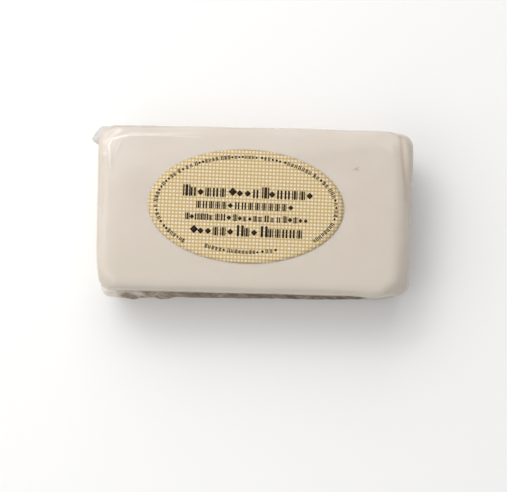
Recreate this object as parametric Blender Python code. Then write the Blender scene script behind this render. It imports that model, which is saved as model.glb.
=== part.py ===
"""A block of goat's tomme shrunk in clear film, with an oval paper label on its face.

The block lies on its back, label up. The origin is the middle of the face that it rests
on, +X runs along the block to the label's right, +Y to the label's top, and +Z is up.
"""

import math

import bmesh
import bpy
from mathutils import Matrix, Vector

MM = 0.001

# The pressed block, as a true brick before it settled.
LENGTH = 119.4 * MM
WIDTH = 63.2 * MM
HEIGHT = 34 * MM
# Its faces bend down to the walls over this width, more at the right end, and this far down.
EDGE_ROUND = 4.8 * MM
RIGHT_EDGE = 8.2 * MM
EDGE_DROP = 3.2 * MM
ROUND_STEPS = 5
# The bend starts at a crease, which turns the corners on these radii. From there it follows
# an arc, whose radius is at least this many times the edge's width, and it ends in a tight
# lip where it meets the wall.
BACK_CREASE_RADIUS = 9 * MM
FRONT_CREASE_RADIUS = 4 * MM
EDGE_ARC = 9.2 * MM
LEAST_ARC = 1.12
LIP_DROP = 1.7 * MM
LIP_POWER = 16
# Where the bend falls further than the edge's usual drop, the wall is drawn down, as far from
# the face as this.
WALL_DRAWN = 13.5 * MM

# How the real block departs from that brick. Each corner of its plan is moved in X and Y,
# first at the labelled face and then at the face that it rests on.
FACE_CORNERS = {
    ("left", "front"): (0.5 * MM, 0.6 * MM),
    ("right", "front"): (-0.3 * MM, 0.7 * MM),
    ("left", "back"): (-0.4 * MM, -0.4 * MM),
    ("right", "back"): (0.8 * MM, 0.2 * MM),
}
BASE_CORNERS = {
    ("left", "front"): (1.4 * MM, 1.6 * MM),
    ("right", "front"): (-1.2 * MM, 1.8 * MM),
    ("left", "back"): (0.5 * MM, -1.3 * MM),
    ("right", "back"): (-0.1 * MM, -0.8 * MM),
}
# The walls draw in from the one plan to the other between these heights.
TUCK_TOP = 30 * MM
TUCK_FOOT = 17 * MM
# Two corners are worn back: how far it reaches along X and Y, and how far the corner went.
WORN_CORNERS = (
    ("left", "front", 9 * MM, 15 * MM, (1.0 * MM, 0.2 * MM)),
    ("right", "front", 12 * MM, 9 * MM, (0.2 * MM, 0.8 * MM)),
)
BACK_BOW = 0.6 * MM
# The front edge of the face swells a little near its right end, at its outermost rim.
EDGE_SWELL = (45.5 * MM, 4.5 * MM, 0.8 * MM)
EDGE_SWELL_POWER = 12
# The face is highest in its middle, and falls most towards its edges.
CROWN = 0.5 * MM
CROWN_POWER = 5

# The film's seam: two layers sealed together, a thin fin that waves round the walls.
SEAM_HEIGHT_FRONT = 16.5 * MM
SEAM_HEIGHT_BACK = 19.5 * MM
SEAM_WAVE = 0.5 * MM
SEAM_WAVE_LENGTH = 37 * MM
SEAM_REACH = 1.4 * MM
SEAM_ROOT_ABOVE = 2.4 * MM
SEAM_ROOT_BELOW = 2.0 * MM
SEAM_THINNESS = 3.0
# Where the fin stands out further at the front: each crumple's middle, half width and reach.
FRONT_CRUMPLES = (
    (-47.3 * MM, 3.6 * MM, 0.9 * MM),
    (-40.6 * MM, 2.4 * MM, 0.3 * MM),
    (-34.4 * MM, 2.6 * MM, 1.1 * MM),
)
# It is wider along the front, less and less so to the right, and lies flat at that end.
FRONT_REACH = 0.6 * MM
FRONT_TAPER = 0.7 * MM
FRONT_FLAT = 1.3 * MM
FRONT_FLAT_START = 38 * MM
FRONT_FLAT_FULL = 54 * MM
# At the back it widens to the left, and at that corner it ends in an ear.
BACK_FLAP = 2.35 * MM
BACK_FLAP_START = -12 * MM
BACK_FLAP_FULL = -40 * MM
EAR_REACH = 3.55 * MM
EAR_START = 0.28
# At the front left corner it is a little wider too.
CORNER_REACH = 0.8 * MM
CORNER_START = 0.3
CORNER_FULL = 0.9

# The oval paper label.
LABEL_CENTRE = Vector((-3.2 * MM, 1.5 * MM))
LABEL_LENGTH = 74.0 * MM
LABEL_WIDTH = 43.4 * MM
LABEL_TURN = math.radians(-0.8)
LABEL_THICKNESS = 0.3 * MM
LABEL_GAP = 0.3 * MM
LABEL_SIDES = 72
LABEL_RINGS = 4

# How closely the block's surface is cut up, so that it can bend.
FACE_STEP = 5 * MM
CREASE_CUTS = [cut * MM for cut in (0.0, 2.2, 5.2)]
SEAM_CUTS = [
    cut * MM for cut in (-11.0, -5.0, -2.0, -1.0, -0.45, 0.0, 0.45, 1.1, 2.4, 4.2, 6.4, 9.0, 11.5)
]


def clear_scene():
    for old in list(bpy.data.objects):
        bpy.data.objects.remove(old)


def make_material(name, colour, roughness):
    material = bpy.data.materials.new(name)
    material.use_nodes = True
    shader = material.node_tree.nodes["Principled BSDF"]
    shader.inputs["Base Color"].default_value = (*colour, 1.0)
    shader.inputs["Roughness"].default_value = roughness
    shader.inputs["Metallic"].default_value = 0.0
    material.diffuse_color = (*colour, 1.0)
    return material


def make_object(name, bm, material):
    mesh = bpy.data.meshes.new(name)
    bm.to_mesh(mesh)
    bm.free()
    mesh.materials.append(material)
    mesh.shade_smooth()
    mesh.set_sharp_from_angle(angle=math.radians(40))
    made = bpy.data.objects.new(name, mesh)
    bpy.context.scene.collection.objects.link(made)
    return made


def clamp(value, limit):
    return max(-limit, min(limit, value))


def smooth_step(value, start, end):
    t = max(0.0, min(1.0, (value - start) / (end - start)))
    return t * t * (3 - 2 * t)


def swell(position, middle, half_width, height):
    """A smooth bump of that height, 0 well away from its middle."""
    return height * math.exp(-(((position - middle) / half_width) ** 2))


def rounded_brick():
    """The true brick, standing on the ground, with all its edges rounded.

    It is bevelled while it is flatter than it should be and is then stretched to its
    height, which draws the round edges down the walls.
    """
    bm = bmesh.new()
    stretch = EDGE_DROP / EDGE_ROUND
    size = Matrix.Diagonal((LENGTH, WIDTH, HEIGHT / stretch, 1.0))
    bmesh.ops.create_cube(bm, size=1.0, matrix=size)
    bmesh.ops.bevel(
        bm,
        geom=bm.edges[:],
        offset=EDGE_ROUND,
        segments=ROUND_STEPS,
        profile=0.5,
        affect="EDGES",
    )
    stand = Matrix.Translation((0.0, 0.0, HEIGHT / 2)) @ Matrix.Diagonal((1.0, 1.0, stretch, 1.0))
    bmesh.ops.transform(bm, matrix=stand, verts=bm.verts)
    return bm


def cut_across(bm, axis, places):
    """Cuts all faces along planes square to an axis, so that they can bend there."""
    normal = Vector((0.0, 0.0, 0.0))
    normal[axis] = 1.0
    for place in places:
        geometry = bm.verts[:] + bm.edges[:] + bm.faces[:]
        bmesh.ops.bisect_plane(
            bm, geom=geometry, dist=1e-7, plane_co=normal * place, plane_no=normal
        )


def even_places(half):
    """Places about a step apart, over the flat between the rounded edges."""
    flat = half - EDGE_ROUND
    count = round(2 * flat / FACE_STEP)
    return [-flat + 2 * flat * i / count for i in range(1, count)]


def side_share(side, x):
    """1 at that end of the block and 0 at the other."""
    right = x / LENGTH + 0.5
    return right if side == "right" else 1 - right


def end_share(end, y):
    """1 at the block's front or back, as asked, and 0 at the other."""
    back = y / WIDTH + 0.5
    return back if end == "back" else 1 - back


def edge_place(x, y):
    """Where a place lies on the bent edge: its width there, and the share of it from the crease."""
    edge_x = RIGHT_EDGE if x > 0 else EDGE_ROUND
    radius = BACK_CREASE_RADIUS if y > 0 else FRONT_CREASE_RADIUS
    across = max(0.0, abs(x) - (LENGTH / 2 - edge_x - radius))
    along = max(0.0, abs(y) - (WIDTH / 2 - EDGE_ROUND - radius))
    away = max(math.hypot(across, along), 1e-9)
    way_x = across / away
    way_y = along / away
    far_x = radius + edge_x
    far_y = radius + EDGE_ROUND
    foot = min(far_x / max(way_x, 1e-9), far_y / max(way_y, 1e-9))
    middle_x = far_x - EDGE_ROUND
    middle_y = far_y - EDGE_ROUND
    if way_x * foot > middle_x and way_y * foot > middle_y:
        middle = way_x * middle_x + way_y * middle_y
        square = middle**2 - middle_x**2 - middle_y**2 + EDGE_ROUND**2
        foot = middle + math.sqrt(max(0.0, square))
    width = foot - radius
    return width, max(0.0, min(1.0, (away - radius) / width))


def edge_fall(width, share):
    """How far the surface has fallen there, along the arc and then over the lip."""
    arc = max(EDGE_ARC, LEAST_ARC * width)
    lip = LIP_DROP * (1 - math.sqrt(max(0.0, 1 - share**LIP_POWER)))
    return arc - math.sqrt(arc**2 - (width * share) ** 2) + lip


def bend_edge(place):
    """Gives a point of the bevelled brick the real edge's height, or draws its wall down to it."""
    width, share = edge_place(place.x, place.y)
    extra = max(0.0, edge_fall(width, 1.0) - EDGE_DROP)
    from_end = min(place.z, HEIGHT - place.z)
    drawn = from_end + extra * (1 - smooth_step(from_end, EDGE_DROP, WALL_DRAWN))
    bent = min(edge_fall(width, share), drawn) if from_end < EDGE_DROP - 1e-6 else drawn
    return Vector((place.x, place.y, HEIGHT - bent if place.z > HEIGHT / 2 else bent))


def corner_shift(x, y, z):
    """How far the block's own corners pull a point of the true brick, in X and Y."""
    up = smooth_step(z, TUCK_FOOT, TUCK_TOP)
    shift = Vector((0.0, 0.0))
    for corners, level in ((FACE_CORNERS, up), (BASE_CORNERS, 1 - up)):
        for (side, end), moved in corners.items():
            shift += Vector(moved) * (level * side_share(side, x) * end_share(end, y))
    for side, end, reach_x, reach_y, moved in WORN_CORNERS:
        near_x = smooth_step((side_share(side, x) - 1) * LENGTH, -reach_x, 0.0)
        near_y = smooth_step((end_share(end, y) - 1) * WIDTH, -reach_y, 0.0)
        shift += Vector(moved) * (near_x * near_y)
    return shift


def outward(x, y):
    """The way that the wall faces, in plan."""
    away = Vector((x - clamp(x, LENGTH / 2 - EDGE_ROUND), y - clamp(y, WIDTH / 2 - EDGE_ROUND)))
    return away.normalized() if away.length > 1e-9 else away


def seam_lift(x, y):
    """How far the seam lies above its middle height there."""
    slope = (SEAM_HEIGHT_BACK - SEAM_HEIGHT_FRONT) * (y / WIDTH)
    return slope + SEAM_WAVE * math.sin(math.tau * (x + y) / SEAM_WAVE_LENGTH)


def seam_reach(x, y):
    """How far the fin stands off the wall there."""
    facing = outward(x, y)
    front = max(0.0, -facing.y) ** 2
    back = max(0.0, facing.y) ** 2
    left = max(0.0, -facing.x)
    reach = SEAM_REACH
    reach += front * sum(swell(x, *crumple) for crumple in FRONT_CRUMPLES)
    reach += front * (FRONT_REACH - FRONT_TAPER * (2 * x / LENGTH))
    reach -= front * FRONT_FLAT * smooth_step(x, FRONT_FLAT_START, FRONT_FLAT_FULL)
    flap = BACK_FLAP * back * smooth_step(-x, -BACK_FLAP_START, -BACK_FLAP_FULL)
    ear = EAR_REACH * smooth_step(left, 0.0, 0.6) * smooth_step(facing.y, 0.0, EAR_START)
    corner = smooth_step(left, 0.0, 0.6) * smooth_step(-facing.y, CORNER_START, CORNER_FULL)
    return reach + max(flap, ear) + CORNER_REACH * corner


def seam_profile(rise):
    """1 at the fin's edge and 0 at its roots, for a height above the seam."""
    root = SEAM_ROOT_ABOVE if rise > 0 else SEAM_ROOT_BELOW
    return max(0.0, 1 - abs(rise) / root) ** SEAM_THINNESS


def settle(place):
    """Where a point of the true brick lies in the real block."""
    x, y, z = place
    rise = z - (SEAM_HEIGHT_FRONT + SEAM_HEIGHT_BACK) / 2
    plan = Vector((x, y)) + corner_shift(x, y, z)
    bow = max(0.0, 1 - (2 * x / LENGTH) ** 2)
    plan.y += BACK_BOW * bow * smooth_step(y, 0.0, WIDTH / 2)
    rim = max(0.0, min(1.0, -2 * y / WIDTH)) ** EDGE_SWELL_POWER
    plan.y -= swell(x, *EDGE_SWELL) * rim * smooth_step(z, TUCK_FOOT, TUCK_TOP)
    plan += outward(x, y) * (seam_reach(x, y) * seam_profile(rise))
    on_wall = smooth_step(z, 0.0, EDGE_DROP) * smooth_step(HEIGHT - z, 0.0, EDGE_DROP)
    lift = seam_lift(x, y) * on_wall
    crown = (1 - abs(2 * x / LENGTH) ** CROWN_POWER) * (1 - abs(2 * y / WIDTH) ** CROWN_POWER)
    lift -= CROWN * (1 - crown) * smooth_step(z, HEIGHT / 2, HEIGHT)
    return Vector((plan.x, plan.y, z + lift))


def make_pack():
    bm = rounded_brick()
    seam = (SEAM_HEIGHT_FRONT + SEAM_HEIGHT_BACK) / 2
    crumple_sides = [
        middle + side * half for middle, half, _ in FRONT_CRUMPLES for side in (-1, 0, 1)
    ]
    right_crease = LENGTH / 2 - RIGHT_EDGE
    left_crease = EDGE_ROUND - LENGTH / 2
    back_crease = WIDTH / 2 - EDGE_ROUND
    crease_sides = [right_crease + 0.5 * (RIGHT_EDGE - EDGE_ROUND)]
    crease_sides += [right_crease - cut for cut in CREASE_CUTS]
    crease_sides += [left_crease + cut for cut in CREASE_CUTS[1:]]
    cut_across(bm, 0, even_places(LENGTH / 2) + crumple_sides + crease_sides)
    crease_ends = [side * (back_crease - cut) for cut in CREASE_CUTS[1:] for side in (-1, 1)]
    cut_across(bm, 1, even_places(WIDTH / 2) + crease_ends)
    cut_across(bm, 2, [seam + cut for cut in SEAM_CUTS])
    for vert in bm.verts:
        vert.co = settle(bend_edge(vert.co))
    ivory = make_material("clear_film_over_ivory_cheese", (0.72, 0.64, 0.55), 0.3)
    return make_object("tomme_pack", bm, ivory)


def make_label():
    """An oval of paper that follows the crown of the face."""
    bm = bmesh.new()
    bmesh.ops.create_circle(bm, cap_ends=True, segments=LABEL_SIDES, radius=1.0)
    for _ in range(1, LABEL_RINGS):
        middle = max(bm.faces, key=lambda face: len(face.verts))
        bmesh.ops.inset_region(bm, faces=[middle], use_boundary=True, thickness=1 / LABEL_RINGS)
    outline = Matrix.Diagonal((LABEL_LENGTH / 2, LABEL_WIDTH / 2, 1.0, 1.0))
    turn = Matrix.Rotation(LABEL_TURN, 4, "Z")
    centre = Matrix.Translation((LABEL_CENTRE.x, LABEL_CENTRE.y, 0.0))
    bmesh.ops.transform(bm, matrix=centre @ turn @ outline, verts=bm.verts)
    for vert in bm.verts:
        on_face = settle(Vector((vert.co.x, vert.co.y, HEIGHT)))
        vert.co.z = on_face.z + LABEL_GAP
    raised = bmesh.ops.extrude_face_region(bm, geom=bm.faces[:])["geom"]
    top = [element for element in raised if isinstance(element, bmesh.types.BMVert)]
    bmesh.ops.translate(bm, verts=top, vec=(0.0, 0.0, LABEL_THICKNESS))
    bmesh.ops.recalc_face_normals(bm, faces=bm.faces)
    paper = make_material("yellow_printed_paper", (0.66, 0.52, 0.30), 0.7)
    return make_object("label", bm, paper)


clear_scene()
make_pack()
make_label()
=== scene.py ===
"""Looks of a block of goat's tomme in clear shrink film, with an oval paper label.

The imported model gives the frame: the block lies on its back, label up, with the origin in
the middle of the face that it rests on, +X to the label's right and +Y to its top.
Lengths are in metres.
"""

import math

import bpy
import numpy as np
from mathutils import Matrix, Vector


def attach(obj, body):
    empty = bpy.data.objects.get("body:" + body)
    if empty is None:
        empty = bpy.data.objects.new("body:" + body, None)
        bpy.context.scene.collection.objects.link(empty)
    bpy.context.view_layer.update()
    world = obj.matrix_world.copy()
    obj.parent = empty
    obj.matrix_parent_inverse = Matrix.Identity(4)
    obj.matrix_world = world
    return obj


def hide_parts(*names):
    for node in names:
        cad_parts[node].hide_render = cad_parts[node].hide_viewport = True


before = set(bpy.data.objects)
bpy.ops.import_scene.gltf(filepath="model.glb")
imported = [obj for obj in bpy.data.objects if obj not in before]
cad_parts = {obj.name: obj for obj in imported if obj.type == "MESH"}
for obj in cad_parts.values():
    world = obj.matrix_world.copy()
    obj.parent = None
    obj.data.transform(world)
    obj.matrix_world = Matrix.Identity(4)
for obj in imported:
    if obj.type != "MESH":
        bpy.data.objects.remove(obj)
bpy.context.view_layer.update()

MM = 0.001

# The kinds of node that the trees use most, and what goes with values kept on points.
MATH = "ShaderNodeMath"
VECTORS = "ShaderNodeVectorMath"
VECTOR = "ShaderNodeCombineXYZ"
PARTS = "ShaderNodeSeparateXYZ"
NOISE = "ShaderNodeTexNoise"
STORE = "GeometryNodeStoreNamedAttribute"
ON_POINTS = {"data_type": "FLOAT_VECTOR", "domain": "POINT"}

# The block's form, as the solids have it. Each corner of its plan is moved in X and Y.
LENGTH = 119.4 * MM
WIDTH = 63.2 * MM
HEIGHT = 34 * MM
EDGE_ROUND = 4.8 * MM
EDGE_DROP = 3.2 * MM
EDGE_FULLNESS = 2.6
RIGHT_EDGE = 8.2 * MM
BACK_CREASE_RADIUS = 9 * MM
FRONT_CREASE_RADIUS = 4 * MM
EDGE_ARC = 9.2 * MM
LEAST_ARC = 1.12
LIP_DROP = 1.7 * MM
LIP_POWER = 16
WALL_DRAWN = 13.5 * MM
FACE_CORNERS = {
    (-1, -1): (0.5 * MM, 0.6 * MM),
    (1, -1): (-0.3 * MM, 0.7 * MM),
    (-1, 1): (-0.4 * MM, -0.4 * MM),
    (1, 1): (0.8 * MM, 0.2 * MM),
}
BASE_CORNERS = {
    (-1, -1): (1.4 * MM, 1.6 * MM),
    (1, -1): (-1.2 * MM, 1.8 * MM),
    (-1, 1): (0.5 * MM, -1.3 * MM),
    (1, 1): (-0.1 * MM, -0.8 * MM),
}
TUCK_TOP = 30 * MM
TUCK_FOOT = 17 * MM
WORN_CORNERS = (
    (-1, -1, 9 * MM, 15 * MM, (1.0 * MM, 0.2 * MM)),
    (1, -1, 12 * MM, 9 * MM, (0.2 * MM, 0.8 * MM)),
)
BACK_BOW = 0.6 * MM
EDGE_SWELL = (45.5 * MM, 4.5 * MM, 0.8 * MM)
EDGE_SWELL_POWER = 12
CROWN = 0.5 * MM
CROWN_POWER = 5

# The folds that the tight film draws along the back left edges: each is a line of places, in
# millimetres, with the fold's strength there.
TIGHT_FOLDS = (
    (
        (-55.0, 14.8, 0.1),
        (-55.2, 17.5, 0.7),
        (-55.3, 21.0, 0.8),
        (-55.8, 23.6, 0.9),
        (-54.7, 26.1, 0.8),
        (-51.7, 27.0, 1.0),
        (-48.0, 27.7, 1.0),
        (-43.0, 27.9, 0.95),
        (-37.5, 28.0, 0.9),
        (-32.5, 28.1, 0.5),
        (-27.5, 27.8, 0.4),
        (-21.4, 27.5, 0.2),
    ),
    ((-53.1, 21.2, 0.3), (-51.8, 24.6, 0.6)),
)
FOLD_HALF_WIDTH = 0.8 * MM
FOLD_RISE = 0.08 * MM
CHEESE_FOLD_SHARE = 0.35
# Along a fold the film is painted whiter, a painted highlight with the film's own whitening there:
# how far to each side of it, in millimetres, and the greatest share.
FOLD_HIGHLIGHT_HALF_WIDTH = 0.58
FOLD_HIGHLIGHT_MOST = 0.75

# Out to this share of its size, a soft spot has its full strength.
SPOT_CORE = 0.4

# Marks and folds show on the face and its edges: they fade in between these heights.
FACE_FROM = 24 * MM
FACE_FULL = 28 * MM

# The cheese's mesh, just inside the film, and its shallow dents.
CHEESE_INSET = 0.15 * MM
CHEESE_CELL = 1.0 * MM
DENT_DEPTH = 0.08 * MM
DENT_SIZE = 11 * MM
DENT_SEED = 4
CLOUD_SIZE = 16 * MM
CURD_SIZE = 2.2 * MM
# From here to there along Y, the cheese is painted a shade darker and warmer: painted shade towards the
# front.
PAINTED_FRONT_SHADE = (8 * MM, -32 * MM)

# The soft crease near the cheese's right end. It bends to the right on its way to the front.
CREASE_START = (54.9 * MM, 27.3 * MM)
CREASE_END = 1.0 * MM
CREASE_FADE = 16 * MM
CREASE_LEAN = 0.10
CREASE_BEND = 1.6
CREASE_HALF_WIDTH = 1.3 * MM
CREASE_DEPTH = 0.34 * MM
# At most this share of the crease's tan tint, its own tone and painted shade.
CREASE_STRENGTH = 0.75
# A hairline crack with its branch, two short ticks at the crease's foot, and specks. Each is a
# soft spot: its middle, half length and half width in millimetres, its turn in degrees and its
# strength.
SMALL_FLAWS = (
    (38.15, 17.05, 1.8, 0.32, 33, 1.0),
    (38.7, 16.5, 0.8, 0.32, -25, 0.9),
    (56.9, 6.6, 1.1, 0.28, -62, 0.8),
    (58.0, 5.0, 0.9, 0.28, -35, 0.7),
    (-47.4, -19.2, 0.7, 0.3, 20, 0.3),
    (-38.7, -21.7, 0.8, 0.3, 10, 0.3),
    (-49.1, 19.2, 0.45, 0.35, 0, 0.3),
    (14.7, -23.7, 0.5, 0.4, 0, 0.28),
    (26.1, -29.5, 0.4, 0.35, 0, 0.7),
    (31.2, -30.2, 0.4, 0.3, 0, 0.8),
    (30.0, 20.1, 0.5, 0.3, 30, 0.28),
    (51.0, 1.6, 0.55, 0.4, 0, 0.4),
    (39.0, 1.8, 0.55, 0.4, 0, 0.35),
)

# The tight film's mesh: the share of the fin that it is drawn out to, and its fine pleats.
FILM_CELL = 0.7 * MM
FIN_SHARE = 0.35
PLEAT_DEPTH = 0.22 * MM
PLEAT_SIZE = (1.5 * MM, 1.5 * MM, 9 * MM)
PLEAT_REACH = 7 * MM
PLEAT_SEED = 7
RIPPLE_SIZE = 5 * MM

# The film's seam, a thin fin that waves round the walls.
SEAM_HEIGHT_FRONT = 16.5 * MM
SEAM_HEIGHT_BACK = 19.5 * MM
SEAM_HEIGHT = (SEAM_HEIGHT_FRONT + SEAM_HEIGHT_BACK) / 2
SEAM_WAVE = 0.5 * MM
SEAM_WAVE_LENGTH = 37 * MM
SEAM_REACH = 1.4 * MM
SEAM_ROOT_ABOVE = 2.4 * MM
SEAM_ROOT_BELOW = 2.0 * MM
SEAM_THINNESS = 3.0
FRONT_CRUMPLES = (
    (-47.3 * MM, 3.6 * MM, 0.9 * MM),
    (-40.6 * MM, 2.4 * MM, 0.3 * MM),
    (-34.4 * MM, 2.6 * MM, 1.1 * MM),
)
FRONT_REACH = 0.6 * MM
FRONT_TAPER = 0.7 * MM
FRONT_FLAT = 1.3 * MM
FRONT_FLAT_START = 38 * MM
FRONT_FLAT_FULL = 54 * MM
BACK_FLAP = 2.35 * MM
BACK_FLAP_START = -12 * MM
BACK_FLAP_FULL = -40 * MM
EAR_REACH = 3.55 * MM
EAR_START = 0.28
CORNER_REACH = 0.8 * MM
CORNER_START = 0.3
CORNER_FULL = 0.9
LEFT_TURN = 0.6
CORNER_STEPS = 40
# The seam's guide line, how much of the fin's reach is torn away, and how far above the seam
# the gathered film leaves the wall.
SEAM_STEPS = 760
SEAM_RAGGED = 0.06
FRONT_RAGGED = 0.18
RAGGED_SIZE = 2.4 * MM
RAGGED_SEED = 3
ROOT_RISE = 0.9 * MM
GUSSET_RISE = 7.0 * MM
GUSSET_EDGES = (-60 * MM, -57 * MM, -54 * MM, -48 * MM)
EAR_RISE = 6.5 * MM
FLAP_RISE = 3.0 * MM
# Where the gathered film is painted dark at the front left: painted shade where it hangs.
SHADED_LOBE = (-47.4, -32.8, 6.0, 2.7, 0, 1.0)
# Folds of the gathered film that catch the light in front.
LIT_FOLDS = (
    (-44.2, -30.9, 3.8, 1.0, -12, 0.95),
    (-37.0, -31.2, 2.0, 0.5, 30, 0.35),
    (-12.0, -31.0, 2.4, 0.5, 28, 0.3),
    (20.0, -31.6, 2.4, 0.5, 28, 0.3),
)
# In front, the film is painted lighter and warmer on its clear gusset, painted light, and dark to the right
# of it, painted shade that is deepest further right.
GUSSET_END = (-46 * MM, -42 * MM)
FRONT_FILM = (-27 * MM, -30 * MM)
DEEP_SHADE = (-32 * MM, -22 * MM)
# The gathered film's fine folds: how wide, how many times longer, and how they turn.
GATHER_SIZE = 1.1 * MM
GATHER_STRETCH = 4.0
GATHER_TURN = math.radians(-18)

# The oval label.
LABEL_CENTRE = Vector((-3.2 * MM, 1.5 * MM, 0.0))
LABEL_LENGTH = 74.0 * MM
LABEL_WIDTH = 43.4 * MM
LABEL_TURN = math.radians(-0.8)
PAPER_THICKNESS = 0.04 * MM
PAPER_LIFT = 0.02 * MM
INK_THICKNESS = 0.03 * MM
PAPER_SIDES = 180
PAPER_RINGS = 16
# Real paper fibres and the specks where ink sinks in are finer, and these are coarse enough to show.
FIBRE_SIZE = 0.35 * MM
INK_SINK_SIZE = 0.6 * MM
# The printed weave: its pitch, and in shares of that, its dots, which are rounded squares, and
# the crossings of its lines.
WEAVE_PITCH = 1.34 * MM
DOT_FLATNESS = 1.14
DOT_SQUARENESS = 3.0
DOT_EDGE = (0.24, 0.42)
CROSSING_EDGE = (0.50, 0.60)
MARK_KIT = (
    ((0.13, 0.5, 0.22, 1.0, 0), (0.52, 0.5, 0.22, 1.0, 0)),
    ((0.32, 0.5, 0.54, 0.54, 45),),
    ((0.07, 0.5, 0.12, 1.0, 0), (0.33, 0.5, 0.24, 1.0, 0), (0.59, 0.5, 0.12, 1.0, 0)),
)
# Each row of marks on the label, in millimetres: its base line, where it starts, the lengths
# of its groups, the gap between them, how tall its marks are, how tall each first mark is, the
# least share of that height, and the spacing.
PRINT_ROWS = (
    (3.2, -24.0, (14.0, 9.0, 17.0), 3.4, 3.3, 4.3, 1.0, 2.75),
    (-1.3, -18.8, (12.0, 5.0, 12.6), 2.6, 2.7, 2.7, 1.0, 2.3),
    (-5.8, -22.8, (9.0, 4.4, 9.6, 4.6, 8.0), 2.3, 2.6, 2.6, 0.66, 1.75),
    (-11.5, -20.6, (14.0, 5.6, 13.6), 3.4, 3.2, 4.2, 1.0, 2.7),
)
# The rows of small marks along the oval: where they start and end, in degrees from the label's
# right, and the lengths of their groups in millimetres.
ARC_ROWS = (
    (228.0, -42.0, (9.0, 6.0, 12.0, 5.0, 8.0, 13.0, 7.0, 10.0, 6.0, 11.0, 9.0, 8.0)),
    (243.0, 297.0, (7.0, 11.0, 5.0, 9.0)),
)
ARC_INSET = 3.6 * MM
ARC_HEIGHT = 1.6 * MM
ARC_GAP = 1.9 * MM
ARC_SPACING = 1.25 * MM
ARC_LEAST = 0.8
ARC_POINTS = 400
GROUP_POINTS = 12

# The studio.
CAMERA_LENS = 113.0
CAMERA_TILT = math.radians(83.28)
CAMERA_ROLL = math.radians(1.45)
CAMERA_PLACE = Vector((0.0, -83.5 * MM, 628.2 * MM))
# Each softbox: the way to it from the block, its distance, width, height and power.
SOFTBOXES = {
    "key": (Vector((-0.36, 0.56, 1.0)), 1.2, 0.6, 0.16, 1.35),
    "back": (Vector((-0.25, 0.8, 1.0)), 1.3, 1.4, 1.4, 9.1),
    "left": (Vector((-1.0, 0.2, 1.2)), 0.7, 0.75, 0.75, 1.9),
    "front": (Vector((-0.6, -0.85, 0.8)), 1.3, 1.5, 1.5, 3.4),
}
FILL_STRENGTH = 0.43
FLOOR_HALF = 3.0

# How finely the noise that shapes dents, pleats and the ragged seam varies.
NOISE_CELLS = 32


def linear(hex_colour):
    """An sRGB hex colour as linear red, green, blue and alpha."""
    channels = [int(hex_colour[i : i + 2], 16) / 255 for i in (1, 3, 5)]
    return (*[c / 12.92 if c <= 0.04045 else ((c + 0.055) / 1.055) ** 2.4 for c in channels], 1.0)


def add(tree, kind, settings=None, operation=None):
    """Adds a node with its settings and links, by the names of its properties and inputs."""
    node = tree.nodes.new(kind)
    if operation:
        node.operation = operation
    for name, value in (settings or {}).items():
        if isinstance(name, str) and hasattr(node, name):
            setattr(node, name, value)
        else:
            give(tree, input_of(node, name), value)
    return node


def give(tree, socket, value):
    """Sets an input, a colour by its hex, or links it: to an output, or to a node's first in use."""
    if isinstance(value, bpy.types.Node):
        value = next(output for output in value.outputs if output.enabled)
    if isinstance(value, bpy.types.NodeSocket):
        tree.links.new(value, socket)
    elif isinstance(value, str) and value.startswith("#"):
        socket.default_value = linear(value)
    else:
        socket.default_value = value


def input_of(node, name):
    """The node's input of that name, or number, that its settings leave in use."""
    if isinstance(name, int):
        return node.inputs[name]
    return next(socket for socket in node.inputs if socket.enabled and socket.name == name)


# Shape rules, on arrays of points


def smooth_step(value, start, end):
    """0 up to the start, 1 from the end on, and a smooth rise between."""
    t = np.clip((value - start) / (end - start), 0.0, 1.0)
    return t * t * (3 - 2 * t)


def swell(position, middle, half_width, height):
    """A smooth bump of that height, 0 well away from its middle."""
    return height * np.exp(-(((position - middle) / half_width) ** 2))


def outward(x, y):
    """The way that the wall faces, in plan, or 0 on the flats."""
    away_x = x - np.clip(x, EDGE_ROUND - LENGTH / 2, LENGTH / 2 - EDGE_ROUND)
    away_y = y - np.clip(y, EDGE_ROUND - WIDTH / 2, WIDTH / 2 - EDGE_ROUND)
    size = np.maximum(np.hypot(away_x, away_y), 1e-9)
    return away_x / size, away_y / size


def seam_lift(x, y):
    """How far the seam lies above its middle height there."""
    slope = (SEAM_HEIGHT_BACK - SEAM_HEIGHT_FRONT) * (y / WIDTH)
    return slope + SEAM_WAVE * np.sin(math.tau * (x + y) / SEAM_WAVE_LENGTH)


def wall_sides(x, y):
    """How much the wall there is the front, the back flap, the left end, and that end's ear."""
    facing_x, facing_y = outward(x, y)
    front = np.maximum(0.0, -facing_y) ** 2
    flap = smooth_step(-x, -BACK_FLAP_START, -BACK_FLAP_FULL) * np.maximum(0.0, facing_y) ** 2
    left = smooth_step(np.maximum(0.0, -facing_x), 0.0, LEFT_TURN)
    return front, flap, left, left * smooth_step(facing_y, 0.0, EAR_START)


def seam_reach(x, y):
    """How far the fin stands off the wall there."""
    front, flap, left, ear = wall_sides(x, y)
    reach = SEAM_REACH + front * sum(swell(x, *crumple) for crumple in FRONT_CRUMPLES)
    reach += front * (FRONT_REACH - FRONT_TAPER * (2 * x / LENGTH))
    reach -= front * FRONT_FLAT * smooth_step(x, FRONT_FLAT_START, FRONT_FLAT_FULL)
    corner = left * smooth_step(-outward(x, y)[1], CORNER_START, CORNER_FULL)
    return reach + np.maximum(BACK_FLAP * flap, EAR_REACH * ear) + CORNER_REACH * corner


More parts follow.
